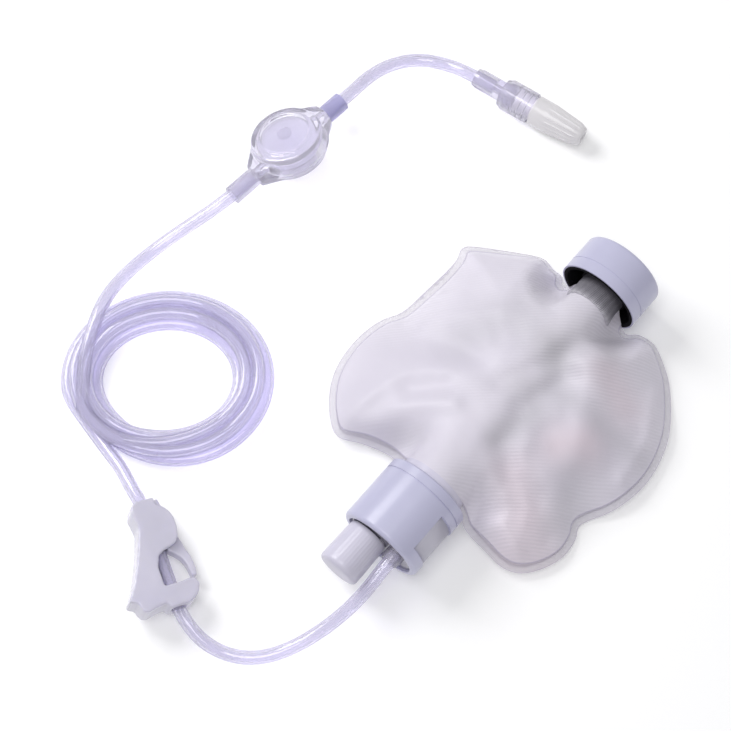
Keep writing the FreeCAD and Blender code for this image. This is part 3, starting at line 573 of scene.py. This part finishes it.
# ---------------------------------------------------------------- film bag
OUTLINE = [
    (11.6, 48.8), (15.0, 51.4), (20.0, 52.0), (25.0, 49.8), (31.0, 45.6), (37.0, 38.3),
    (41.2, 31.3), (43.6, 23.8), (44.4, 16.5), (43.6, 9.6), (41.6, 3.6), (38.6, -1.6),
    (37.6, -5.0), (39.2, -8.6), (39.8, -14.5), (37.9, -20.7), (33.9, -26.2), (28.5, -28.6),
    (21.0, -28.2), (14.0, -27.4), (10.6, -25.9), (9.9, -28.2), (0.0, -28.2), (-9.9, -28.2),
    (-11.0, -25.4), (-16.5, -24.0), (-24.5, -26.4), (-31.4, -29.6), (-37.0, -26.6),
    (-42.6, -20.2), (-45.8, -13.6), (-47.0, -6.5), (-46.8, 0.6), (-45.4, 6.8), (-42.6, 12.4),
    (-41.4, 20.0), (-40.6, 28.5), (-40.8, 35.0), (-42.0, 39.2), (-39.4, 42.2), (-31.0, 47.4),
    (-22.4, 52.6), (-17.4, 52.0), (-13.8, 51.6), (-11.6, 48.8), (-6.5, 50.6), (0.0, 51.2),
    (6.5, 50.6)]
AXIS_HEIGHT = 12.85
LOWER_MOUTH, LOWER_NECK = -26.8, 9.9
UPPER_MOUTH, UPPER_NECK = 49.3, 6.6
RIDGE = 22.4
FLAP_MIDDLE, FLAP_REACH, FLAP_WIDTH = Vector((-38.0, 22.0)), 14.0, 0.9
EDGE_HEIGHT = 2.6
# Soft folds of the upper sheet: line, half-width and height.
FOLDS = [
    ([(-26, -22), (-19, -12), (-10, -5)], 3.4, 1.6),
    ([(-22, -8), (-15, -2)], 3.6, -1.3),
    ([(9, 22), (6, 8), (8, -5), (16, -11), (25, -9)], 3.8, -1.8),
    ([(14, 30), (24, 12), (27, -2)], 6.0, 2.0),
    ([(9, 42), (3, 22), (-4, 8)], 3.4, -1.6),
    ([(18, 42), (12, 28)], 4.0, 1.2),
    ([(13, -26), (22, -22), (31, -24)], 2.2, 1.5),
    ([(11, -24), (20, -16), (33, -14)], 3.0, -1.2),
    ([(-34, 14), (-22, 24), (-10, 30)], 5.0, 1.5),
    ([(-36, 2), (-24, 8), (-12, 10)], 5.0, -1.2),
    ([(-43, 6), (-37, 22)], 1.5, 1.0),
    ([(30, 38), (37, 26), (39, 12)], 2.2, 0.9)]

# Painted shade (grey, where the folds and the balloon beneath shade the film) and pink tint seen in the film:
# line, half-width and strength.
PAINTED_SHADE_MARKS = [
    ([(-21, 14), (-14, 27), (2, 26), (5, 33)], 7.0, 0.40), ([(2, 26), (9, 17), (1, 11)], 5.0, 0.45),
    ([(9, 8), (6, -5)], 3.6, 0.50), ([(15, 18), (24, 18), (40, 21)], 3.6, 0.28),
    ([(-12, -17), (-17, -20)], 3.2, 0.30), ([(28, 3), (34, -10)], 6.0, 0.25),
    ([(11, 44), (14, 36)], 4.0, 0.30)]
ROSY = [
    ([(17, 31), (26, 28)], 6.0, 0.60), ([(25, 11), (20, 6)], 6.0, 0.75),
    ([(16, -9), (24, -14)], 7.0, 0.65), ([(34, -20), (28, -25)], 8.0, 0.50)]


def smooth_loop(corners, steps):
    """A closed smooth curve through a few corners."""
    points = []
    count = len(corners)
    for index in range(count):
        before, start, stop, after = (Vector(corners[(index + shift) % count]) for shift in (-1, 0, 1, 2))
        for step in range(steps):
            t = step / steps
            points.append(0.5 * (2 * start + (stop - before) * t
                                 + (2 * before - 5 * start + 4 * stop - after) * t * t
                                 + (3 * start - before - 3 * stop + after) * t ** 3))
    return points


def to_segment(point, start, stop):
    """Distance from a point to a straight piece of line."""
    along = stop - start
    share = max(0.0, min(1.0, (point - start).dot(along) / along.length_squared))
    return (point - start - along * share).length


def to_line(point, corners):
    return min(to_segment(point, Vector(a), Vector(b)) for a, b in zip(corners, corners[1:]))


def stain(point, marks):
    """How strongly a point lies in any of the marks, from 0 to 1."""
    return min(1.0, sum(strength * math.exp(-(to_line(point, line) / wide) ** 2)
                        for line, wide, strength in marks))


def eased(value):
    value = max(0.0, min(1.0, value))
    return value * value * (3 - 2 * value)


def neck_height(x, radius, sign, edge):
    """Section of the gathered film at a mouth."""
    if abs(x) < radius:
        return AXIS_HEIGHT + sign * math.sqrt(radius * radius - x * x)
    return edge + (AXIS_HEIGHT - edge) * math.exp(-(abs(x) - radius) / 2.6)


class Film:
    """The two welded sheets: plan outline, inner points and heights."""

    def __init__(self, pitch):
        loop = smooth_loop([Vector(corner) for corner in OUTLINE], 4)
        self.loop = loop
        self.weld = [point for point in loop
                     if not (abs(point.x) < 10.4 and (point.y < -25 or point.y > 48))]
        inner = []
        row, y = 0, min(point.y for point in loop)
        while y < max(point.y for point in loop):
            x = -50.0 + (row % 2) * pitch / 2
            while x < 50:
                place = Vector((x, y))
                if self.inside(place) and self.off_edge(place) > pitch * 0.55:
                    inner.append(place)
                x += pitch
            y += pitch * 0.866
            row += 1
        edges = [(i, (i + 1) % len(loop)) for i in range(len(loop))]
        made = geometry.delaunay_2d_cdt(loop + inner, edges, [], 1, 1e-6)
        self.points, self.faces = made[0], made[2]
        self.edge_gap = [self.to_weld(point) for point in self.points]

    def inside(self, point):
        found = False
        for start, stop in zip(self.loop, self.loop[1:] + self.loop[:1]):
            if (start.y > point.y) != (stop.y > point.y):
                if point.x < (stop.x - start.x) * (point.y - start.y) / (stop.y - start.y) + start.x:
                    found = not found
        return found

    def off_edge(self, point):
        return min((point - corner).length for corner in self.loop)

    def to_weld(self, point):
        return min(to_segment(point, a, b) for a, b in zip(self.weld, self.weld[1:])
                   if (b - a).length < 9)

    def edge_height(self, x, y):
        turn = math.atan2(y - 11.0, x)
        return EDGE_HEIGHT + 0.9 * math.sin(5 * turn + 0.6) + 0.5 * math.sin(11 * turn + 2.0)

    def height(self, x, y, gap, sign):
        edge = self.edge_height(x, y)
        across = math.sqrt(x * x + 30.0) - math.sqrt(30.0)
        share = across / (across + gap + 1e-6)
        if sign > 0:
            sag = 1.0 * math.sin(math.pi * eased((y - LOWER_MOUTH) / (UPPER_MOUTH - LOWER_MOUTH)))
            fullness = 0.42 * (1 - share) + 0.58 * (1 - share * share)
            body = edge + (RIDGE - sag - edge) * fullness
            place = Vector((x, y))
            for line, wide, tall in FOLDS:
                reach = to_line(place, [Vector(p) for p in line])
                body += tall * math.exp(-(reach / wide) ** 2) * eased(gap / 5.0)
            body += 0.55 * noise.noise(Vector((x, y, 3.0)) * 0.09) * eased(gap / 6.0)
            body += 0.22 * noise.noise(Vector((x, y, 9.0)) * 0.25) * eased(gap / 4.0)
        else:
            body = 0.35 + (edge - 0.35) * math.exp(-gap / 5.0)
        for mouth, radius, reach in ((LOWER_MOUTH, LOWER_NECK, 15.0), (UPPER_MOUTH, UPPER_NECK, 17.0)):
            outer = y < mouth if mouth < 0 else y > mouth
            off = max(0.0, abs(x) - radius) if outer else math.hypot(
                max(0.0, abs(x) - radius), y - mouth)
            weight = eased(off / reach)
            body = neck_height(x, radius, sign, edge) * (1 - weight) + body * weight
        return body

    def sheet(self, name, sign, material):
        points = [Vector((p.x, p.y, self.height(p.x, p.y, gap, sign))) * MM
                  for p, gap in zip(self.points, self.edge_gap)]
        piece = mesh_piece(name, points, self.faces, material)
        marks = {"gap": [gap - FLAP_WIDTH * math.exp(-((p - FLAP_MIDDLE).length / FLAP_REACH) ** 2)
                         if gap > FLAP_WIDTH * 0.5 else gap * 0.5
                         for p, gap in zip(self.points, self.edge_gap)],
                 # Mask of the painted grey shade of the folds and the balloon.
                 "painted_shade": [stain(p, PAINTED_SHADE_MARKS) for p in self.points],
                 "rosy": [stain(p, ROSY) for p in self.points]}
        for label, values in marks.items():
            piece.data.attributes.new(label, "FLOAT", "POINT").data.foreach_set("value", values)
        return piece

    def flat_area(self):
        return sum(geometry.area_tri(*[self.points[i].to_3d() for i in face])
                   for face in self.faces) * MM * MM


def make_film():
    film = Film(1.35)
    area = film.flat_area()
    upper = film.sheet("film_upper", 1, film_material("film_upper", 0.86, 0.40))
    lower = film.sheet("film_lower", -1, film_material("film_lower", 0.80, 0.30))
    for piece, nodes in ((upper, ["film_cover_upper"]), (lower, ["film_cover_lower"])):
        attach(piece, PUMP)
        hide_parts(*nodes)


def make_pleats():
    """The gathered film in the top cap's mouth: a sleeve with fine pleats along it."""
    rows, columns, pleats, depth = 30, 640, 84, 0.08
    start, stop = 42.4, 55.2
    points, faces, shade_inward, crease_shade = [], [], [], []
    for row in range(rows + 1):
        share = row / rows
        radius = 4.6 + 2.85 * eased(share / 0.16) - 0.45 * eased((share - 0.16) / 0.3)
        for column in range(columns):
            turn = 2 * math.pi * column / columns
            ripple = math.sin(pleats * turn + 2.2 * math.sin(3 * turn)) + 0.8 * math.sin(19 * turn)
            reach = radius + depth * ripple
            angle = turn + math.radians(12) * share
            points.append(Vector((reach * math.sin(angle), start + (stop - start) * share,
                                  AXIS_HEIGHT + reach * math.cos(angle))) * MM)
            # Masks for the painted shade: share along the sleeve, and the pleat ripple, low in its valleys.
            shade_inward.append(share)
            crease_shade.append(0.5 + 0.31 * ripple)
    for row in range(rows):
        for column in range(columns):
            following = (column + 1) % columns
            faces.append((row * columns + column, row * columns + following,
                          (row + 1) * columns + following, (row + 1) * columns + column))
    piece = mesh_piece("upper_neck_pleats", points, faces, pleat_material())
    for label, values in (("shade_inward", shade_inward), ("crease_shade", crease_shade)):
        piece.data.attributes.new(label, "FLOAT", "POINT").data.foreach_set("value", values)
    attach(piece, PUMP)
    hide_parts("film_neck_upper")


# ---------------------------------------------------------------- caps
def make_cap_details(dark):
    """What the caps need besides their CAD shapes: a near-black sleeve in the top cap's bore as painted
    shadow, and the panel.
    """
    pump = placed(0, 0, AXIS_HEIGHT)
    # A near-black sleeve in the top cap's bore: painted shadow for the dark inside of its mouth.
    bore = [(11.55, 60.1), (11.55, 49.27), (12.35, 49.27), (12.35, 49.2), (11.3, 49.2),
            (11.3, 59.8), (6.4, 59.8), (6.4, 60.1)]
    lathe("top_cap_painted_shadow", [(*corner, False) for corner in bore], pump, dark,
          PUMP, ring=True)
    rows, half_turn, radius, start, stop = 30, 42.5, 12.38, -44.35, -32.85
    points, faces = [], []
    for row in range(rows + 1):
        turn = math.radians(half_turn * (2 * row / rows - 1))
        for along in (start, stop):
            points.append(pump @ (Vector((radius * math.cos(turn), along, radius * math.sin(turn))) * MM))
        if row:
            faces.append((2 * row - 2, 2 * row - 1, 2 * row + 1, 2 * row))
    panel = mesh_piece("lower_cap_panel", points, faces, panel_material())
    thick = panel.modifiers.new("thick", "SOLIDIFY")
    thick.thickness, thick.offset = 0.05 * MM, 0.0
    applied(panel)
    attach(panel, PUMP)


def make_end_caps():
    """The two pull-off caps, with their ribs."""
    fill = [(0.0, -61.4, True), (5.0, -61.4, True), (5.65, -61.25, True), (6.1, -60.85, True),
            (6.3, -60.2, True), (5.98, -48.2, True), (5.85, -47.8, False), (5.2, -47.8, False),
            (4.9, -60.1, False), (4.3, -60.1, False), (4.3, -49.8, False), (3.4, -49.8, False),
            (3.4, -60.1, False), (0.0, -60.1, False)]
    piece = lathe("fill_cap_ribbed", along_profile(fill, 0.8), placed(-4.2, 0, AXIS_HEIGHT),
                  frosted_material(), "fill_cap",
                  ribs=[(40, 0.05, -59.5, -48.4)], columns=240)
    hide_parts("fill_cap")
    tip = [(2.4, 14.6, False), (3.55, 14.6, False), (3.55, 20.7, False), (4.4, 20.7, True),
           (4.66, 21.0, True), (4.66, 24.4, True), (4.05, 30.0, True), (3.62, 34.5, True),
           (3.15, 36.9, True), (2.85, 37.6, True), (2.5, 37.9, True), (1.7, 37.9, False),
           (1.4, 37.6, False), (1.4, 34.9, False), (2.3, 34.9, False), (2.3, 25.4, False),
           (2.28, 24.9, False), (2.28, 23.9, False)]
    piece = lathe("luer_cap_ribbed", along_profile(tip, 0.6), placed(-74.6, 84.9, 5.2, -82.0),
                  luer_cap_material(), "luer_cap",
                  ribs=[(18, 0.20, 25.0, 37.0)], columns=216, ring=True)
    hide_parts("luer_cap")


# ---------------------------------------------------------------- floor and light
def make_stage():
    shader = Shader("floor", Roughness=0.9, Emission_Strength=0.12)
    shader.surface.inputs["Emission Color"].default_value = (1.0, 1.0, 1.0, 1.0)
    shader.colour(shader.ramp(shader.noise(3.0), [(0.0, (0.93, 0.93, 0.93)), (1.0, (0.95, 0.95, 0.95))]))
    size = 4.0
    corners = [(-size, -size, 0), (size, -size, 0), (size, size, 0), (-size, size, 0)]
    floor = mesh_piece("floor", corners, [(0, 1, 2, 3)], shader.material, smooth=False)
    floor.location.z = -0.00002
    world = bpy.data.worlds.new("studio")
    bpy.context.scene.world = world
    world.use_nodes = True
    world.node_tree.nodes["Background"].inputs["Color"].default_value = (0.97, 0.97, 1.0, 1.0)
    world.node_tree.nodes["Background"].inputs["Strength"].default_value = 0.36
    lights = (("key", -88, 46, 0.75, 0.34, 3.0), ("rim", 60, 35, 0.9, 0.3, 0.3),
              ("top", 20, 80, 0.9, 0.45, 2.6))
    for name, azimuth, elevation, distance, size, power in lights:
        data = bpy.data.lights.new(name, "AREA")
        data.shape, data.size, data.energy = "SQUARE", size, power
        lamp = linked(bpy.data.objects.new(name, data))
        lamp.location = CAMERA_TARGET + direction(azimuth, elevation) * distance
        aim(lamp, CAMERA_TARGET)
    bpy.context.scene.view_settings.view_transform = "Standard"


# ---------------------------------------------------------------- the object
def make_object():
    make_line()
    caps, dark, frosted = cap_material(), mouth_shadow_material(), frosted_material()
    clear, grey = clear_material(), grey_material()
    make_film()
    make_pleats()
    make_cap_details(dark)
    make_end_caps()
    painted(["lower_cap", "lower_clamp_ring", "top_cap"], caps)
    painted(["port_block", "outlet_sleeve", "luer_socket", "luer_tip", "luer_collar", "core_tube",
             "restrictor_capillary", "filter_vent", "filter_inlet_sleeve", "fill_port"], clear)
    painted(["filter_membrane"], membrane_material())
    painted(["filter_outlet_sleeve"], sleeve_material())
    painted(["reservoir_band_lower", "reservoir_band_upper", "film_neck_lower",
             "fill_valve_disc", "fill_cap_liner"], frosted)
    painted(["elastomer_reservoir"], balloon_material())
    painted(["luer_cap_vent"], grey)
    # Painted near-black, as shadow inside the top cap's mouth.
    painted(["top_clamp_band", "top_plug"], dark)


make_camera()
make_object()
make_stage()
